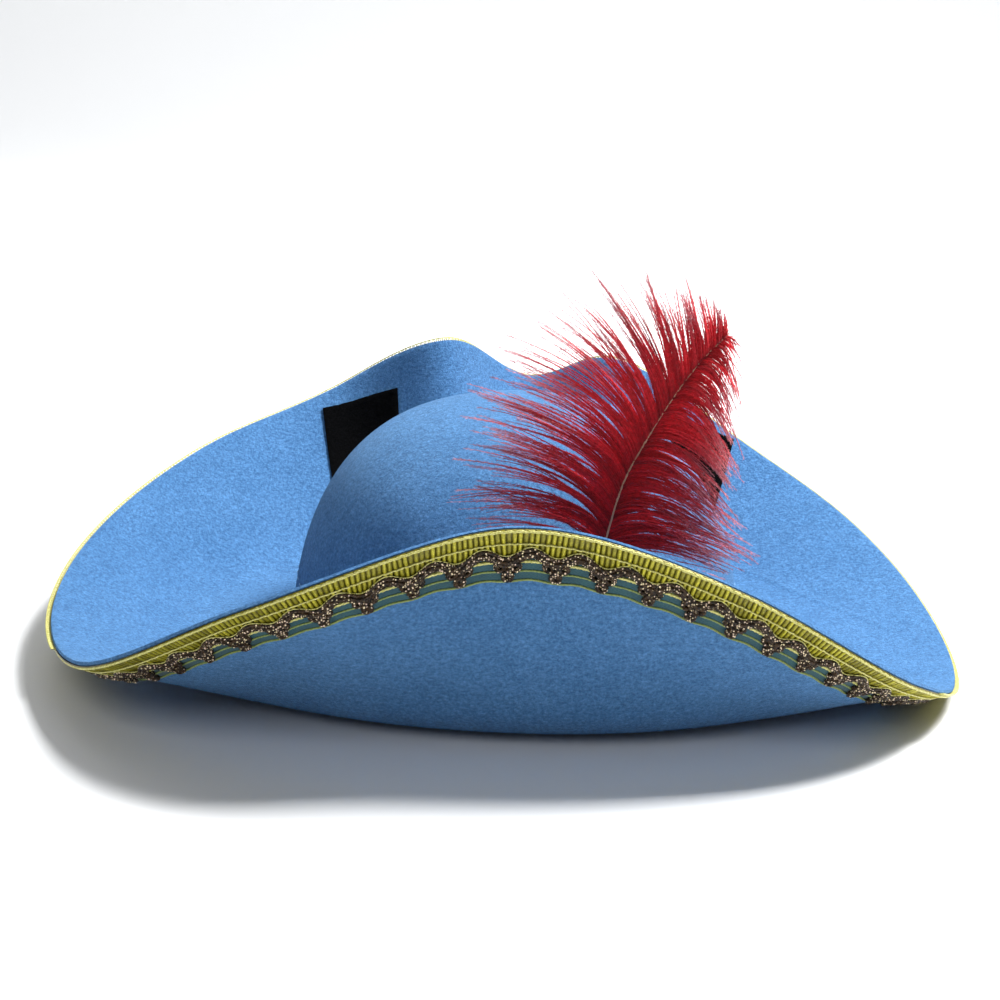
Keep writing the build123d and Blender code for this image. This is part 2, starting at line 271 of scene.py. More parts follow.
class Nodes:
    """Short way to build a node material."""

    def __init__(self, name, rough=0.9, sheen=0.0, metallic=0.0, specular=0.3):
        self.material = bpy.data.materials.new(name)
        self.material.use_nodes = True
        self.tree = self.material.node_tree
        self.shader = self.tree.nodes["Principled BSDF"]
        self.shader.inputs["Roughness"].default_value = rough
        self.shader.inputs["Metallic"].default_value = metallic
        self.shader.inputs["Specular IOR Level"].default_value = specular
        self.shader.inputs["Sheen Weight"].default_value = sheen
        self.shader.inputs["Sheen Roughness"].default_value = 0.5
        self.coords = self.add("ShaderNodeTexCoord").outputs["Object"]

    def add(self, kind, **values):
        node = self.tree.nodes.new(kind)
        for key, value in values.items():
            if hasattr(node, key):
                setattr(node, key, value)
            else:
                node.inputs[key.replace("_", " ")].default_value = value
        return node

    def link(self, a, b):
        self.tree.links.new(a, b)

    def noise(self, scale, detail=3.0, rough=0.6, coords=None):
        node = self.add("ShaderNodeTexNoise", Scale=scale, Detail=detail, Roughness=rough)
        self.link(coords or self.coords, node.inputs["Vector"])
        return node.outputs["Fac"]

    def stretched(self, scale):
        node = self.add("ShaderNodeMapping")
        node.inputs["Scale"].default_value = scale
        self.link(self.coords, node.inputs["Vector"])
        return node.outputs["Vector"]

    def voronoi(self, scale, output="Distance"):
        node = self.add("ShaderNodeTexVoronoi", Scale=scale)
        self.link(self.coords, node.inputs["Vector"])
        return node.outputs[output]

    def ramp(self, source, stops):
        node = self.add("ShaderNodeValToRGB")
        ramp = node.color_ramp
        while len(ramp.elements) < len(stops):
            ramp.elements.new(0.5)
        for element, (at, colour) in zip(ramp.elements, stops):
            element.position = at
            element.color = (*colour, 1)
        self.link(source, node.inputs["Fac"])
        return node.outputs["Color"]

    def mix(self, factor, a, b, blend="MIX"):
        node = self.add("ShaderNodeMix", data_type="RGBA", blend_type=blend)
        for socket, value in ((node.inputs[0], factor), (node.inputs[6], a), (node.inputs[7], b)):
            if isinstance(value, (int, float)):
                socket.default_value = value
            elif isinstance(value, tuple):
                socket.default_value = (*value, 1)
            else:
                self.link(value, socket)
        return node.outputs[2]

    def colour(self, source):
        self.link(source, self.shader.inputs["Base Color"])

    def bump(self, height, distance, strength=1.0, after=None):
        node = self.add("ShaderNodeBump", Strength=strength, Distance=distance)
        self.link(height, node.inputs["Height"])
        if after:
            self.link(after, node.inputs["Normal"])
        self.link(node.outputs["Normal"], self.shader.inputs["Normal"])
        return node.outputs["Normal"]


def felt_material():
    """Mottled blue with a short pale nap."""
    felt = Nodes("felt", rough=0.95, sheen=0.22, specular=0.1)
    felt.shader.inputs["Sheen Tint"].default_value = (0.55, 0.8, 1.0, 1)
    blotch = felt.noise(38, 4, 0.6)
    fibre = felt.noise(800, 5, 0.85)
    fibre_long = felt.noise(330, 4, 0.75, felt.stretched((1, 1, 2.6)))
    base = felt.ramp(blotch, [(0.3, (0.066, 0.195, 0.43)), (0.7, (0.083, 0.228, 0.485))])
    stops = [(0.36, (0.42, 0.5, 0.58)), (0.5, (0.95, 0.96, 0.97)), (0.64, (1.75, 1.6, 1.45))]
    nap = felt.ramp(fibre, stops)
    colour = felt.mix(0.85, base, nap, "MULTIPLY")
    streak = felt.ramp(fibre_long, [(0.35, (0.78, 0.8, 0.83)), (0.65, (1.16, 1.16, 1.14))])
    felt.colour(felt.mix(0.8, colour, streak, "MULTIPLY"))
    first = felt.bump(fibre, 0.0012, 0.85)
    felt.bump(fibre_long, 0.0010, 0.45, first)
    return felt.material


def braid_material():
    """Olive gold, with painted shade deep between the ribs, along the middle seam and towards the edges, and
    fine painted glints.
    """
    braid = Nodes("braid", rough=0.38, metallic=0.3, specular=0.5)
    fine = braid.noise(1500, 3, 0.6)
    # painted shade: the vertex attribute read here darkens the braid between the ribs, along its middle seam
    # and towards its edges
    rib_and_painted_shade = braid.add("ShaderNodeAttribute", attribute_name="rib_and_painted_shade").outputs["Fac"]
    stops = [(0.0, (0.055, 0.047, 0.001)), (0.45, (0.22, 0.20, 0.006)), (1.0, (0.55, 0.51, 0.035))]
    base = braid.ramp(rib_and_painted_shade, stops)
    glint = braid.ramp(fine, [(0.35, (0.55, 0.55, 0.5)), (0.7, (1.4, 1.35, 1.2))])
    braid.colour(braid.mix(0.85, base, glint, "MULTIPLY"))
    braid.bump(fine, 0.0003, 0.5)
    return braid.material


def gimp_material():
    """Nearly black thread with scattered painted glints: pale gold highlights in small beads."""
    gimp = Nodes("gimp", rough=0.4, metallic=0.0, specular=0.3)
    spots = gimp.voronoi(1250, "Color")
    bead = gimp.voronoi(1250)
    pick = gimp.add("ShaderNodeSeparateColor")
    gimp.link(spots, pick.inputs["Color"])
    # painted highlights: about a third of the cells turn pale gold, rounded by their distance to the cell's
    # centre
    lit = gimp.ramp(pick.outputs[0], [(0.64, (0.0, 0.0, 0.0)), (0.68, (1.0, 1.0, 1.0))])
    near = gimp.ramp(bead, [(0.34, (1.0, 1.0, 1.0)), (0.52, (0.0, 0.0, 0.0))])
    painted_glint_gold = gimp.ramp(pick.outputs[1], [(0.0, (1.0, 0.86, 0.50)), (1.0, (1.0, 0.74, 0.60))])
    dark = gimp.ramp(pick.outputs[2], [(0.0, (0.004, 0.002, 0.001)), (1.0, (0.060, 0.030, 0.009))])
    gimp.colour(gimp.mix(gimp.mix(1.0, lit, near, "MULTIPLY"), dark, painted_glint_gold))
    gimp.bump(near, 0.0006, 0.8)
    return gimp.material


def mesh_material():
    """Sheer dark teal weave."""
    net = Nodes("net", rough=0.6, sheen=0.2)
    weave = net.add("ShaderNodeTexChecker", Scale=1400.0)
    net.link(net.coords, weave.inputs["Vector"])
    cloud = net.noise(120, 3, 0.6)
    base = net.ramp(cloud, [(0.3, (0.010, 0.050, 0.075)), (0.7, (0.020, 0.085, 0.105))])
    grid = net.ramp(weave.outputs["Fac"], [(0.0, (0.5, 0.7, 0.6)), (1.0, (1.3, 1.3, 1.0))])
    net.colour(net.mix(0.3, base, grid, "MULTIPLY"))
    net.bump(weave.outputs["Fac"], 0.0002, 0.5)
    return net.material


def thread_material(name, dark, light, rough=0.6, metallic=0.0):
    thread = Nodes(name, rough=rough, metallic=metallic, specular=0.4)
    fine = thread.noise(1800, 3, 0.6)
    thread.colour(thread.ramp(fine, [(0.3, dark), (0.7, light)]))
    thread.bump(fine, 0.0002, 0.6)
    return thread.material


def patch_material():
    """Black hook-and-loop tape."""
    patch = Nodes("hook_and_loop", rough=1.0, specular=0.02)
    loops = patch.noise(1600, 3, 0.8)
    patch.colour(patch.ramp(loops, [(0.35, (0.0008, 0.001, 0.001)), (0.75, (0.006, 0.006, 0.007))]))
    patch.bump(loops, 0.0008, 0.9)
    return patch.material


def ribbon_material():
    """Navy ribbon with fine level ribs."""
    ribbon = Nodes("ribbon", rough=0.55, sheen=0.25)
    wave = ribbon.add("ShaderNodeTexWave", Scale=420.0, Distortion=0.4, bands_direction="Z")
    ribbon.link(ribbon.coords, wave.inputs["Vector"])
    cloud = ribbon.noise(60, 3, 0.6)
    base = ribbon.ramp(cloud, [(0.3, (0.012, 0.03, 0.09)), (0.7, (0.02, 0.045, 0.13))])
    ribs = ribbon.ramp(wave.outputs["Fac"], [(0.2, (0.6, 0.6, 0.6)), (0.8, (1.3, 1.3, 1.3))])
    ribbon.colour(ribbon.mix(0.4, base, ribs, "MULTIPLY"))
    ribbon.bump(wave.outputs["Fac"], 0.0003, 0.6)
    return ribbon.material


def label_material():
    label = Nodes("label", rough=0.7)
    weave = label.noise(1500, 2, 0.5, label.stretched((1, 1, 4)))
    label.colour(label.ramp(weave, [(0.3, (0.6, 0.6, 0.57)), (0.7, (0.82, 0.82, 0.79))]))
    label.bump(weave, 0.0002, 0.5)
    return label.material


def plume_material():
    """Crimson by the shaft, paler and pinker towards the tips, each lock a little different."""
    plume = Nodes("plume", rough=0.6, sheen=0.25, specular=0.2)
    plume.shader.inputs["Sheen Tint"].default_value = (1.0, 0.5, 0.5, 1)
    along = plume.add("ShaderNodeAttribute", attribute_name="along").outputs["Fac"]
    lock = plume.add("ShaderNodeAttribute", attribute_name="lock").outputs["Fac"]
    streak = plume.noise(700, 3, 0.6)
    stops = [
        (0.0, (0.26, 0.002, 0.006)), (0.2, (0.52, 0.006, 0.013)), (0.6, (0.66, 0.018, 0.030)),
        (0.85, (0.66, 0.08, 0.10)), (1.0, (0.62, 0.26, 0.29)),
    ]
    colour = plume.ramp(along, stops)
    shade = plume.ramp(streak, [(0.3, (0.66, 0.6, 0.6)), (0.7, (1.3, 1.25, 1.25))])
    colour = plume.mix(0.8, colour, shade, "MULTIPLY")
    tone = plume.ramp(lock, [(0.0, (0.55, 0.45, 0.5)), (0.5, (1.0, 1.0, 1.0)), (1.0, (1.35, 1.5, 1.4))])
    plume.colour(plume.mix(0.85, colour, tone, "MULTIPLY"))
    return plume.material


def quill_material():
    quill = Nodes("quill", rough=0.4, specular=0.5)
    grain = quill.noise(400, 3, 0.6, quill.stretched((1, 1, 0.2)))
    quill.colour(quill.ramp(grain, [(0.3, (0.32, 0.10, 0.06)), (0.7, (0.60, 0.32, 0.20))]))
    quill.bump(grain, 0.0002, 0.4)
    return quill.material


FELT_LOOK = felt_material()
BRAID_LOOK = braid_material()
GIMP_LOOK = gimp_material()
NET_LOOK = mesh_material()
THREAD_LOOK = thread_material("braid_thread", (0.36, 0.34, 0.04), (0.80, 0.76, 0.32), 0.4, 0.2)
NET_THREAD_LOOK = thread_material("net_thread", (0.14, 0.20, 0.05), (0.30, 0.36, 0.12), 0.5, 0.1)
SEWING_LOOK = thread_material("sewing_thread", (0.12, 0.28, 0.5), (0.25, 0.45, 0.7))
PATCH_LOOK = patch_material()
RIBBON_LOOK = ribbon_material()
LABEL_LOOK = label_material()
PLUME_LOOK = plume_material()
QUILL_LOOK = quill_material()


# ------------------------------------------------------------------ camera, floor and light


def make_camera():
    """Front view, slightly above the brim and a little rolled."""
    distance, rise, yaw, roll = 0.90, math.radians(17.3), math.radians(0.5), math.radians(2.3)
    target = Vector((0, 0, 0.045))
    back = Vector((math.sin(yaw) * math.cos(rise), -math.cos(yaw) * math.cos(rise), math.sin(rise)))
    right = (-back).cross(Vector((0, 0, 1))).normalized()
    up = right.cross(-back)
    rolled_right = right * math.cos(roll) + up * math.sin(roll)
    rolled_up = up * math.cos(roll) - right * math.sin(roll)
    camera = bpy.data.cameras.new("camera")
    camera.lens = 81
    camera.shift_x, camera.shift_y = -0.0184, 0.0322
    obj = bpy.data.objects.new("camera", camera)
    bpy.context.scene.collection.objects.link(obj)
    matrix = Matrix((rolled_right, rolled_up, back)).transposed().to_4x4()
    matrix.translation = target + back * distance
    obj.matrix_world = matrix
    bpy.context.scene.camera = obj


def make_stage():
    """Pale floor that curves up into a backdrop."""
    pale = Nodes("pale", rough=0.9, specular=0.1)
    pale.shader.inputs["Base Color"].default_value = (0.86, 0.87, 0.88, 1)
    reach, back, high, bend = 4000.0, 2200.0, 3200.0, 900.0
    profile = [(-reach, FLOOR_Z), (0, FLOOR_Z), (back - bend, FLOOR_Z)]
    for i in range(1, 13):
        turn = math.pi / 2 * i / 12
        profile.append((back - bend + bend * math.sin(turn), bend - bend * math.cos(turn) + FLOOR_Z))
    profile.append((back, high))
    verts = [(x, y, z) for x in (-reach, reach) for y, z in profile]
    count = len(profile)
    faces = [[i, i + count, i + count + 1, i + 1] for i in range(count - 1)]
    floor = make_object("floor", verts, faces, pale.material)


def area_light(name, place, size, power, aim=(0, 0, 0.05)):
    light = bpy.data.lights.new(name, "AREA")
    light.energy, light.size = power, size
    obj = bpy.data.objects.new(name, light)
    bpy.context.scene.collection.objects.link(obj)
    obj.location = place
    obj.rotation_euler = (Vector(aim) - Vector(place)).to_track_quat("-Z", "Y").to_euler()


def make_lights():
    area_light("key", (0.72, 0.22, 1.35), 0.45, 52)
    area_light("front", (-0.45, -1.35, 1.25), 0.9, 6)
    area_light("backdrop", (0, 1.1, 2.3), 2.0, 16, aim=(0, 2.2, 0.7))
    world = bpy.data.worlds.new("studio")
    world.use_nodes = True
    world.node_tree.nodes["Background"].inputs["Color"].default_value = (0.95, 0.97, 1.0, 1)
    world.node_tree.nodes["Background"].inputs["Strength"].default_value = 0.16
    bpy.context.scene.world = world
    bpy.context.scene.view_settings.view_transform = "Standard"


# ------------------------------------------------------------------ brim and its trim


def bends(obj):
    """Bakes the piece's placement into its points."""
    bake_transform(obj)


def run_along(sector, from_edge):
    """Bearings and travelled length along a line at a fixed distance from the edge."""
    bearing = np.linspace(sector[3], sector[4], 1500)
    line = brim_at(bearing, brim_width(bearing) - from_edge, 0)
    run = np.concatenate([[0], np.cumsum(np.linalg.norm(np.diff(line, axis=0), axis=1))])
    return bearing, run


def trim_point(sector_run, travelled, down, offset):
    """A point of the trim: travelled along the edge, down from it, offset outwards from the under face."""
    bearing = np.interp(travelled, sector_run[1], sector_run[0])
    return brim_at(bearing, brim_width(bearing) - down, -offset)


def make_felt(sector):
    """One flap's share of the brim, with a rounded edge."""
    name = sector[0]
    bearing = np.linspace(sector[3], sector[4], 260)[:, None]
    share = np.linspace(0, 1, 76)[None, :]
    along = 0.1 + share * (brim_width(bearing) - 0.1)
    rounding = np.clip((share - 0.985) / 0.015, 0, 1) ** 2 * 0.45
    piece = slab(
        f"brim_{name}",
        brim_at(bearing + 0 * share, along, 0 * share + rounding),
        brim_at(bearing + 0 * share, along, FELT - rounding + 0 * share),
        FELT_LOOK,
        sharp=60,
    )
    bends(piece)
    nodes = [f"{name}_felt"] + (["brim_felt"] if name == "front" else [])
    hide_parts(*nodes)


def set_shade(obj, name, values):
    """A number on each vertex, for the material to read."""
    layer = obj.data.attributes.new(name, "FLOAT", "POINT")
    layer.data.foreach_set("value", np.asarray(values, np.float32).ravel())


def trim_threads(sector, name, material, lines):
    """Threads that run along the trim: each has its distance from the edge, lift, radius and twist."""
    track = run_along(sector, 0)
    length = track[1][-1]
    parts = []
    for level, lift_off, radius, twist in lines:
        line = np.linspace(0, length, int(length / 0.7))
        depth = level(line, length) if callable(level) else level + 0.12 * np.sin(line * 1.7)
        path = trim_point(track, line, depth, lift_off + 0 * line)
        parts.append(tube_mesh(path, radius, 7, 2, twist))
    verts, faces = joined(parts)
    piece = make_object(f"{name}_{sector[0]}", verts, faces, material)
    bends(piece)


def make_picot(sector):
    """Small loops of braid thread that stand past the felt's edge, with a line along their tips."""
    track = run_along(sector, 0)
    length = track[1][-1]
    loops = round(length / 2.0)
    phase = np.linspace(0, 2 * math.pi * loops, loops * 14)
    travelled = np.clip(length * phase / phase[-1] + 0.42 * np.sin(2 * phase), 0, length)
    level = -0.55 + 1.0 * np.cos(phase)
    path = trim_point(track, travelled, level, 0.25 + 0 * level)
    parts = [tube_mesh(path, 0.27, 5)]
    line = np.linspace(0, length, int(length / 0.9))
    parts.append(tube_mesh(trim_point(track, line, -1.55 + 0 * line, 0.3 + 0 * line), 0.24, 5))
    verts, faces = joined(parts)
    piece = make_object(f"picot_{sector[0]}", verts, faces, THREAD_LOOK)
    bends(piece)


def make_braid(sector):
    """Ribbed metallic braid, with a rolled cord along the felt's edge."""
    name = sector[0]
    track = run_along(sector, 0)
    length = track[1][-1]
    ribs = round(length / RIB_PITCH)
    flat = np.linspace(0, length, ribs * 7 + 1)[:, None]
    uneven = np.append(np.repeat(rng.uniform(0.5, 1.0, ribs), 7), 0.9)[:, None]
    rib_and_painted_shade = np.abs(np.sin(math.pi * ribs * flat / length)) ** 0.8 * uneven
    down = np.array([0, 0.04, 0.14, 0.3, 0.44, 0.48, 0.52, 0.6, 0.75, 0.9, 0.97, 1.0])[None, :]
    slant = np.interp(flat, np.linspace(0, length, 40), rng.uniform(-1.3, 1.3, 40))
    travelled = np.clip(flat + slant * (down - 0.5), 0, length)
    level = 0.1 + down * (BRAID_WIDTH + 0.3 * rib_and_painted_shade - 0.1)
    body = np.sin(math.pi * np.clip(down, 0.04, 0.96)) ** 0.4
    waist = 1 - 0.45 * np.exp(-(((down - 0.48) / 0.035) ** 2))
    thick = 0.22 + 1.05 * rib_and_painted_shade * body * waist
    piece = slab(
        f"braid_{name}",
        trim_point(track, travelled, level, TRIM_GAP + thick),
        trim_point(track, travelled, level, TRIM_GAP + 0 * level),
        BRAID_LOOK,
        sharp=75,
    )
    # painted shade for the braid's colour: darkest in the gaps between ribs, darker along the middle seam
    # and towards the edges; the face on the felt is all dark
    shade = rib_and_painted_shade * (0.55 + 0.45 * body * waist)
    set_shade(piece, "rib_and_painted_shade", np.concatenate([shade.ravel(), 0 * shade.ravel()]))
    bends(piece)
    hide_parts(*([f"{name}_braid"] + (["corner_braid"] if name == "front" else [])))
    cords = [(0.75, 0.75, 0.5, 1.9), (5.6, 1.25, 0.27, 2.4)]
    trim_threads(sector, "braid_cord", THREAD_LOOK, cords)
    if name != "front":
        make_picot(sector)


def net_sag(travelled, length):
    """The band hangs a little between pendants."""
    count = round(length / PENDANT_PITCH)
    return -0.9 * np.cos(math.pi * count * travelled / length) ** 2 + 0.3


def net_line(at):
    """A thread of the net at a distance from the edge, with the band's sag there."""
    return lambda line, length: at + net_sag(line, length) * (at - NET_TOP) / NET_TOP


def make_net(sector):
    """Sheer band under the gimp, with its three woven threads."""
    name = sector[0]
    track = run_along(sector, 0)
    length = track[1][-1]
    travelled = np.linspace(0, length, 300)[:, None]
    level = np.linspace(NET_TOP, NET_LOW, 10)[None, :]
    lower = net_line(level)(travelled, length)
    band = slab(
        f"net_{name}",
        trim_point(track, travelled + 0 * level, lower, TRIM_GAP + 0.3 + 0 * level),
        trim_point(track, travelled + 0 * level, lower, TRIM_GAP + 0 * level),
        NET_LOOK,
    )
    bends(band)
    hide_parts(*([f"{name}_mesh"] + (["corner_mesh"] if name == "front" else [])))
    lines = [(net_line(17.6), 0.6, 0.36, 2.0), (net_line(21.6), 0.6, 0.42, 2.0)]
    trim_threads(sector, "net_threads", NET_THREAD_LOOK, lines)
    strip = [(lambda line, whole: 13.4 + 0.3 * net_sag(line, whole), 0.6, 0.6, 1.6)]
    trim_threads(sector, "net_strip", THREAD_LOOK, strip)


def smooth_line(points, step=0.45):
    """Even points along a smooth line through given ones."""
    points = np.array(points, float)
    run = np.concatenate([[0], np.cumsum(np.linalg.norm(np.diff(points, axis=0), axis=1))])
    fine = np.linspace(0, run[-1], max(int(run[-1] / step), 4))
    padded = np.concatenate([[2 * points[0] - points[1]], points, [2 * points[-1] - points[-2]]])
    i = np.clip(np.searchsorted(run, fine, side="right") - 1, 0, len(points) - 2)
    u = ((fine - run[i]) / (run[i + 1] - run[i]))[:, None]
    p0, p1, p2, p3 = padded[i], padded[i + 1], padded[i + 2], padded[i + 3]
    square, cube = 2 * p0 - 5 * p1 + 4 * p2 - p3, 3 * p1 - p0 - 3 * p2 + p3
    return 0.5 * (2 * p1 + (p2 - p0) * u + square * u**2 + cube * u**3)


def pendant_lines():
    """Flat paths of one pendant: three coiled lobes and the thread that fills it."""
    turns = np.linspace(0, 2.4 * math.pi, 22)
    lines = []
    for x, y, radius in ((-2.6, 14.9, 1.5), (2.6, 14.9, 1.5), (0.0, 18.8, 1.55)):
        start = math.atan2(13.5 - y, -x)
        lines.append(np.stack([x + radius * np.cos(turns + start), y + radius * np.sin(turns + start)], -1))
    lines.append(smooth_line([(-4.2, 13.2), (-1.5, 14.0), (1.5, 14.0), (4.2, 13.2)]))
    lines.append(smooth_line([(0, 13.2), (0.4, 15.5), (-1.3, 17.0), (1.3, 17.2), (0, 18.9)]))
    return lines


def gimp_centre(line, length):
    """Wavy middle line of the gimp's band, in valleys above the pendants."""
    count = round(length / PENDANT_PITCH)
    return 11.0 + 1.9 * np.cos(2 * math.pi * (count * line / length - 0.5))


def gimp_strands(track, length):
    """The gimp's wavy band of three twisted strands."""
    line = np.linspace(0, length, int(length / 0.5))
    slope = np.gradient(gimp_centre(line, length), line)
    steep = np.sqrt(1 + slope**2)
    parts = []
    for shift, depth, radius in ((-1.3, 1.5, 0.72), (0.0, 1.95, 0.78), (1.3, 1.5, 0.72)):
        travelled = np.clip(line - shift * slope / steep, 0, length)
        level = gimp_centre(line, length) + shift / steep + 0.12 * np.sin(2.9 * line + shift)
        path = trim_point(track, travelled, level, depth + 0.15 * np.sin(1.9 * line + 2 * shift))
        parts.append(tube_mesh(path, radius, 7, 2, 2.4))
    return parts


def gimp_pendants(track, length):
    """The gimp's hanging three-lobed points, each a little different."""
    count = round(length / PENDANT_PITCH)
    parts = []
    for k in range(count):
        middle = (k + 0.5) * (length / count)
        wobble = rng.uniform(-0.4, 0.4, 2)
        stretch = rng.uniform(0.93, 1.06)
        for number, flat in enumerate(pendant_lines()):
            across = middle + wobble[0] + stretch * flat[:, 0]
            down = PENDANT_TOP + (flat[:, 1] - PENDANT_TOP) * stretch + 0.4 * wobble[1]
            depth = 1.15 + 0.12 * number + 0.2 * np.sin(1.3 * np.arange(len(flat)))
            parts.append(tube_mesh(trim_point(track, across, down, depth), 0.85, 7, 2, 2.6))
    return parts


def make_gimp(sector):
    """Dark twisted thread with painted gold glints, in a wavy band with pendants."""
    name = sector[0]
    track = run_along(sector, 0)
    length = track[1][-1]
    verts, faces = joined(gimp_strands(track, length) + gimp_pendants(track, length))
    piece = make_object(f"gimp_{name}", verts, faces, GIMP_LOOK)
    bends(piece)
    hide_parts(*([f"{name}_gimp"] + (["corner_gimp"] if name == "front" else [])))
    rim = [(lambda run, whole: gimp_centre(run, whole) - 2.3, 1.3, 0.19, 2.6)]
    trim_threads(sector, "gimp_rim", THREAD_LOOK, rim)


# ------------------------------------------------------------------ crown and what is in it


def make_crown():
    """The dome, open below, with its outside and inside faces."""
    turn = np.linspace(0, 2 * math.pi, 240, endpoint=False)[:, None]
    share = (np.linspace(0, 1, 80) ** 0.8)[None, :-1]
    soft = 0.5 * np.sin(2 * turn + 5 * share) * np.sin(share * math.pi)
    soft = soft + 0.35 * np.sin(5 * turn + 3 * share) * share * (1 - share)
    outer = crown_at(turn + 0 * share, share + 0 * turn, soft)
    inner = crown_at(turn + 0 * share, share + 0 * turn, FELT + soft)
    n, m = outer.shape[:2]
    size = n * m
    faces = np.concatenate([grid_faces(n, m, 0, True), grid_faces(n, m, size, True, True)]).tolist()
    for i in range(n):
        k = (i + 1) % n
        faces.append([i * m + size, k * m + size, k * m, i * m])
        faces.append([i * m + m - 1, k * m + m - 1, 2 * size])
        faces.append([k * m + m - 1 + size, i * m + m - 1 + size, 2 * size + 1])
    verts = np.concatenate(
        [outer.reshape(-1, 3), inner.reshape(-1, 3), [(0, 0, CROWN_HEIGHT), (0, 0, CROWN_HEIGHT - FELT)]]
    )
    piece = make_object("crown_felt", verts, faces, FELT_LOOK, 60)
    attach(piece, "hat")
    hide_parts("crown")


def wall_share(height, inset):
    """Share of the dome's profile at a height."""
    rise = np.clip(np.asarray(height, float) / (CROWN_HEIGHT - inset), 0, 1) ** (CROWN_POWER / 2)
    return np.arcsin(rise) / (math.pi / 2)


def on_wall(turn, height, inset):
    """Points of the crown's wall at a height."""
    return crown_at(turn, wall_share(height, inset), inset)


def make_sweatband():
    """Ribbon round the inside of the opening, a little rippled."""
    turn = np.linspace(0, 2 * math.pi, 300, endpoint=False)[:, None]
    height = np.linspace(BAND_LOW, BAND_LOW + BAND_HEIGHT, 26)[None, :]
    ripple = 0.25 * np.sin(23 * turn) * np.sin(math.pi * (height - BAND_LOW) / BAND_HEIGHT)
    outside = on_wall(turn + 0 * height, height + 0 * turn, FELT + BAND_GAP + ripple)
    inside = on_wall(turn + 0 * height, height + 0 * turn, FELT + BAND_GAP + 0.5 + ripple)
    band = slab("sweatband_ribbon", outside, inside, RIBBON_LOOK, wrap=True)
    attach(band, "hat")
    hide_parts("sweatband")


def make_sweatband_stitches():
    """Running stitches near the ribbon's top, in turn inside the ribbon and outside the crown."""
    parts = []
    dip = np.linspace(-1, 1, 7) ** 4
    for i in range(STITCHES):
        t = 2 * math.pi * i / STITCHES + np.linspace(-STITCH_HALF, STITCH_HALF, 7) / 92
        depth = FELT + 1.15 - 0.4 * dip if i % 2 else -0.12 + 0.45 * dip
        height = BAND_LOW + BAND_HEIGHT - STITCH_INSET + 0 * t
        parts.append(tube_mesh(on_wall(t, height, depth), 0.26, 6))
    verts, faces = joined(parts)
    stitches = make_object("sweatband_stitch_row", verts, faces, SEWING_LOOK)
    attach(stitches, "hat")
    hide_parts("sweatband_stitches")


def make_label():
    """Blank label on the ribbon at the back, curling away a little at its top."""
    t = (math.pi / 2 + np.linspace(-LABEL_HALF, LABEL_HALF, 20) / 95)[:, None]
    height = np.linspace(LABEL_LOW, LABEL_LOW + LABEL_HEIGHT, 14)[None, :]
    curl = 0.25 * np.sin((t - math.pi / 2) * 60) + 0.35 * (height - LABEL_LOW) / LABEL_HEIGHT
    label = slab(
        "blank_label",
        on_wall(t + 0 * height, height + 0 * t, FELT + 1.25 + curl),
        on_wall(t + 0 * height, height + 0 * t, FELT + 1.55 + curl),
        LABEL_LOOK,
    )
    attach(label, "hat")
    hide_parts("size_label")


def make_seam():
    """Twisted thread where the crown meets the brim."""
    turn = np.linspace(0, 2 * math.pi, 900, endpoint=False)
    x, y = (CROWN_HALF_X + SEAM_GAP) * np.cos(turn), (CROWN_HALF_Y + SEAM_GAP) * np.sin(turn)
    path = np.stack([x, y, SEAM_Z + 0 * turn], -1)
    verts, faces = tube_mesh(path, SEAM_RADIUS, 8, 2, 1.6, closed=True)
    seam = make_object("crown_seam_cord", verts, faces, SEWING_LOOK)
    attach(seam, "hat")
    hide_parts("crown_seam")


# ------------------------------------------------------------------ patches


def make_loop_patch(side, middle, lean, across, up, worn):
    """The patch on the brim's inside, leaning towards the back point; worn is taken off its thickness."""
    turn = lean * math.radians(PATCH_TURN)
    outward = up * math.cos(turn) - across * math.sin(turn)
    sideways = up * math.sin(turn) + across * math.cos(turn)
    along = PATCH_UP + outward
    reach = np.hypot(*np.moveaxis(brim_at(middle + 0 * outward, along, 0)[..., :2], -1, 0))
    bearing = middle + np.degrees(sideways / reach)
    loop = slab(
        f"loop_tape_{side}",
        brim_at(bearing, along, FELT + 0.15),
        brim_at(bearing, along, FELT + 0.1 + PATCH_THICK - worn),
        PATCH_LOOK,
    )
    bends(loop)
    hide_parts(f"loop_patch_{side}")


def make_hook_patch(side, middle, across, up, worn):
    """The patch on the crown's outside that its loop patch meets."""
    angle = math.radians(middle)
    t = math.atan2(math.sin(angle) * CROWN_HALF_X / CROWN_HALF_Y, math.cos(angle)) + across / 92
    hooks = slab(
        f"hook_tape_{side}",
        on_wall(t, CROWN_PATCH_Z + up, -0.15 + 0 * up),
        on_wall(t, CROWN_PATCH_Z + up, worn - 0.1 - PATCH_THICK),
        PATCH_LOOK,
    )
    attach(hooks, "hat")
    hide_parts(f"hook_patch_{side}")


def make_patches():
    """A loop patch and a hook patch on each side, tufted and rounded along the edges."""
    across, up = np.meshgrid(
        np.linspace(-PATCH_WIDTH / 2, PATCH_WIDTH / 2, 36),
        np.linspace(-PATCH_LENGTH / 2, PATCH_LENGTH / 2, 50),
        indexing="ij",
    )
    edge = np.minimum(PATCH_WIDTH / 2 - abs(across), PATCH_LENGTH / 2 - abs(up))
    rounding = 0.5 * np.exp(-edge / 0.6)
    for side, middle, lean, sector in PATCHES:
        tufts = rng.normal(0, 0.12, across.shape)
        make_loop_patch(side, middle, lean, across, up, rounding - tufts)
        make_hook_patch(side, middle, across, up, rounding + tufts)


# ------------------------------------------------------------------ plume

# the shaft's line in the plume's plane: across and up
SHAFT = ((20, 12), (26.5, 44), (33.0, 76), (37.8, 94), (45, 109), (54, 125), (63, 138), (72, 148))
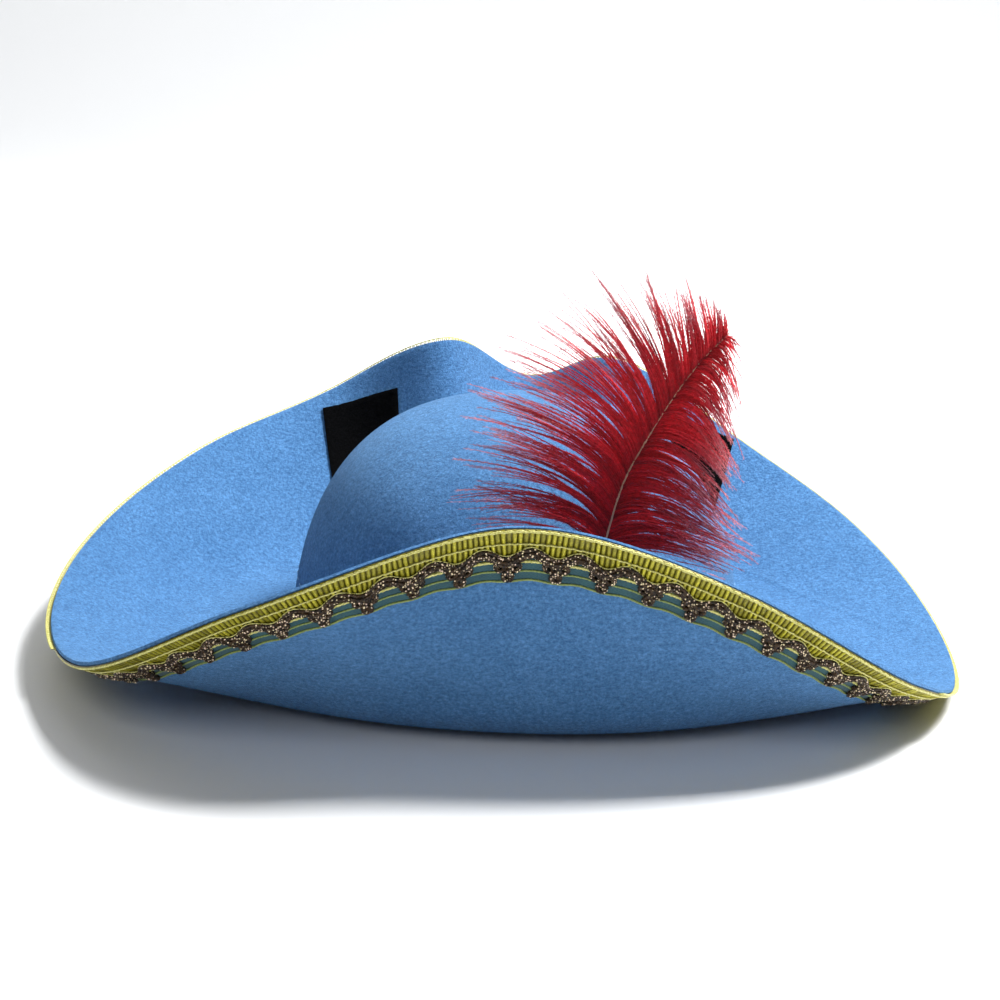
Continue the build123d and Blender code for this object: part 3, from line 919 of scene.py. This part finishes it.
# barbs of each side at heights along the shaft: height, direction in degrees, length
LEFT_BARBS = (
    (44, 183, 36), (50, 178, 45), (58, 169, 54), (70, 160, 60), (84, 151, 67), (97, 143, 68), (107, 134, 65),
    (113, 125, 63), (120, 116, 55), (128, 109, 44), (136, 104, 32), (142, 101, 21), (147, 85, 8),
)
RIGHT_BARBS = (
    (44, 4, 42), (50, 2, 48), (60, -2, 53), (76, -8, 54), (94, -19, 47), (109, -29, 42),
    (118, -36, 38), (125, -42, 34), (136, -51, 26), (143, -55, 15), (147, -40, 7),
)


def in_plume(flat, depth):
    """Points of the plume's leaning plane; depth is towards the viewer."""
    long = math.hypot(1, PLUME_LEAN)
    x, v = flat[..., 0], flat[..., 1]
    y = PLUME_Y + (v * PLUME_LEAN - depth) / long
    return np.stack([x, y, (v + depth * PLUME_LEAN) / long], -1)


def make_quill():
    """The plume's bent shaft, thinner towards the tip."""
    line = smooth_line(SHAFT, 1.0)
    share = np.linspace(0, 1, len(line))
    radius = 0.98 - 0.74 * np.sqrt(share)
    verts, faces = tube_mesh(in_plume(line, 0 * share), radius, 12)
    quill = make_object("plume_shaft", verts, faces, QUILL_LOOK)
    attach(quill, "hat")
    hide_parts("feather_quill")


def make_tacks():
    """Two tacks of three threads each, over the shaft and into the brim."""
    line = smooth_line(SHAFT, 1.0)
    t = np.linspace(-1, 1, 15)
    parts = []
    for height in TACK_HEIGHTS:
        foot = line[np.argmin(abs(line[:, 1] - height))]
        for k in range(3):
            flat = np.stack([foot[0] + TACK_HALF * t, foot[1] + (k - 1) * 0.9 + 0 * t], -1)
            parts.append(tube_mesh(in_plume(flat, 1.9 * np.cos(t * math.pi / 2) - 0.6), 0.3, 6, 2, 3.0))
    verts, faces = joined(parts)
    tack = make_object("plume_tacks", verts, faces, SEWING_LOOK)
    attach(tack, "hat")
    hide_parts("feather_tack")


def barb_strip(line, depth, half, spin):
    """A barb's own narrow tapering shaft as a flat three-sided sliver."""
    tangent = unit(np.gradient(line, axis=0))
    normal = np.stack([-tangent[:, 1], tangent[:, 0]], -1)
    a = in_plume(line + normal * half[:, None], depth + half * spin)
    b = in_plume(line - normal * half[:, None], depth + half * spin)
    c = in_plume(line, depth - half * 1.2)
    n = len(line)
    verts = np.stack([a, b, c], 1).reshape(-1, 3)
    faces = []
    for i in range(n - 1):
        for j in range(3):
            k = (j + 1) % 3
            faces.append([i * 3 + j, i * 3 + k, (i + 1) * 3 + k, (i + 1) * 3 + j])
    faces.append([0, 2, 1])
    faces.append([n * 3 - 3, n * 3 - 2, n * 3 - 1])
    return verts, faces


def barb_line(root, along_shaft, tip, side):
    """A barb leaves the shaft at a slant, then curves over to its tip."""
    reach = np.linalg.norm(tip - root)
    lean = math.atan2(along_shaft[1], along_shaft[0]) + side * math.radians(36)
    bend = root + 0.4 * reach * np.array([math.cos(lean), math.sin(lean)])
    t = np.linspace(0, 1, max(int(reach / 1.1), 6))[:, None]
    return t[:, 0], (1 - t) ** 2 * root + 2 * t * (1 - t) * bend + t**2 * tip


def barbules(line, t, depth, reach):
    """Fine hairs that leave both edges of a barb and lean towards its tip."""
    tangent = unit(np.gradient(line, axis=0))
    normal = np.stack([-tangent[:, 1], tangent[:, 0]], -1)
    trios, shades = [], []
    for edge in (1, -1):
        hairs = int(reach * 1.5)
        u = np.sort(rng.uniform(0.02, 0.99, hairs))
        base = np.stack([np.interp(u, t, line[:, k]) for k in (0, 1)], -1)
        tan = np.stack([np.interp(u, t, tangent[:, k]) for k in (0, 1)], -1)
        nor = np.stack([np.interp(u, t, normal[:, k]) for k in (0, 1)], -1)
        deep = np.interp(u, t, depth)
        size = (3.0 - 1.7 * u) * rng.uniform(0.5, 1.15, hairs)
        end = base + size[:, None] * (0.88 * tan + 0.47 * edge * nor)
        wide = 0.15 * tan
        loose = rng.normal(0, 0.6, hairs)
        foot = [in_plume(base - wide, deep), in_plume(base + wide, deep)]
        trio = np.stack([*foot, in_plume(end, deep + loose)], 1)
        trios.append(trio.reshape(-1, 3))
        shades.append(np.stack([u, u, np.clip(u + 0.15, 0, 1)], -1).reshape(-1))
    return np.concatenate(trios), np.concatenate(shades)


def make_barb(shaft, height, lock, side, number):
    """One barb's parts with its barbules, and each point's share of the way to the barb's tip."""
    lock_tip, lock_depth = lock
    at = int(np.argmin(abs(shaft[:, 1] - height)))
    root = shaft[at]
    along_shaft = unit(shaft[min(at + 2, len(shaft) - 1)] - shaft[max(at - 2, 0)])
    tip = root + (lock_tip + rng.normal(0, 1.1, 2) - root) * rng.uniform(0.62, 1.0)
    t, line = barb_line(root, along_shaft, tip, side)
    line[:, 1] += 0.4 * np.sin(t * 6 + number) * t
    depth = 0.1 + (lock_depth + rng.normal(0, 0.5)) * t + 0.9 * np.sin(math.pi * t)
    half = (0.36 * (1 - t) + 0.07) * rng.uniform(0.85, 1.15)
    strip = barb_strip(line, depth, half, rng.uniform(-0.5, 0.5))
    hairs, share = barbules(line, t, depth, np.linalg.norm(tip - root))
    hair_faces = np.arange(len(hairs)).reshape(-1, 3).tolist()
    return [strip, (hairs, hair_faces)], np.concatenate([np.repeat(t, 3), share])


def make_vane(name, node, barbs, side, count):
    """Barbs of one side, gathered in pointed locks, each lock of its own shade."""
    shaft = smooth_line(SHAFT, 0.5)
    rise, direction, length = np.array(barbs, float).T
    heights = np.linspace(rise[0], rise[-1], count)
    parts, along, tone = [], [], []
    number = 0
    while number < count:
        size = int(rng.integers(3, 8 if side > 0 else 6))
        group = heights[number:number + size]
        middle = float(np.mean(group))
        angle = math.radians(np.interp(middle, rise, direction) + rng.normal(0, 4.0))
        reach = np.interp(middle, rise, length) * rng.uniform(0.84, 1.04)
        foot = shaft[int(np.argmin(abs(shaft[:, 1] - middle)))]
        lock = (foot + reach * np.array([math.cos(angle), math.sin(angle)]), rng.normal(0, 1.8))
        lock_tone = rng.uniform(0, 1)
        for height in group:
            barb, share = make_barb(shaft, height, lock, side, number)
            parts += barb
            along.append(share)
            tone.append(np.full(len(share), lock_tone + rng.uniform(-0.15, 0.15)))
        number += size
    verts, faces = joined(parts)
    piece = make_object(name, verts, faces, PLUME_LOOK)
    set_shade(piece, "along", np.concatenate(along))
    set_shade(piece, "lock", np.concatenate(tone))
    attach(piece, "hat")
    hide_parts(node)


make_camera()
make_stage()
make_lights()
for part in SECTORS:
    make_felt(part)
    make_braid(part)
    make_net(part)
    make_gimp(part)
make_crown()
make_sweatband()
make_sweatband_stitches()
make_label()
make_seam()
make_patches()
make_quill()
make_tacks()
make_vane("plume_left", "feather_vane_left", LEFT_BARBS, 1, 400)
make_vane("plume_right", "feather_vane_right", RIGHT_BARBS, -1, 380)
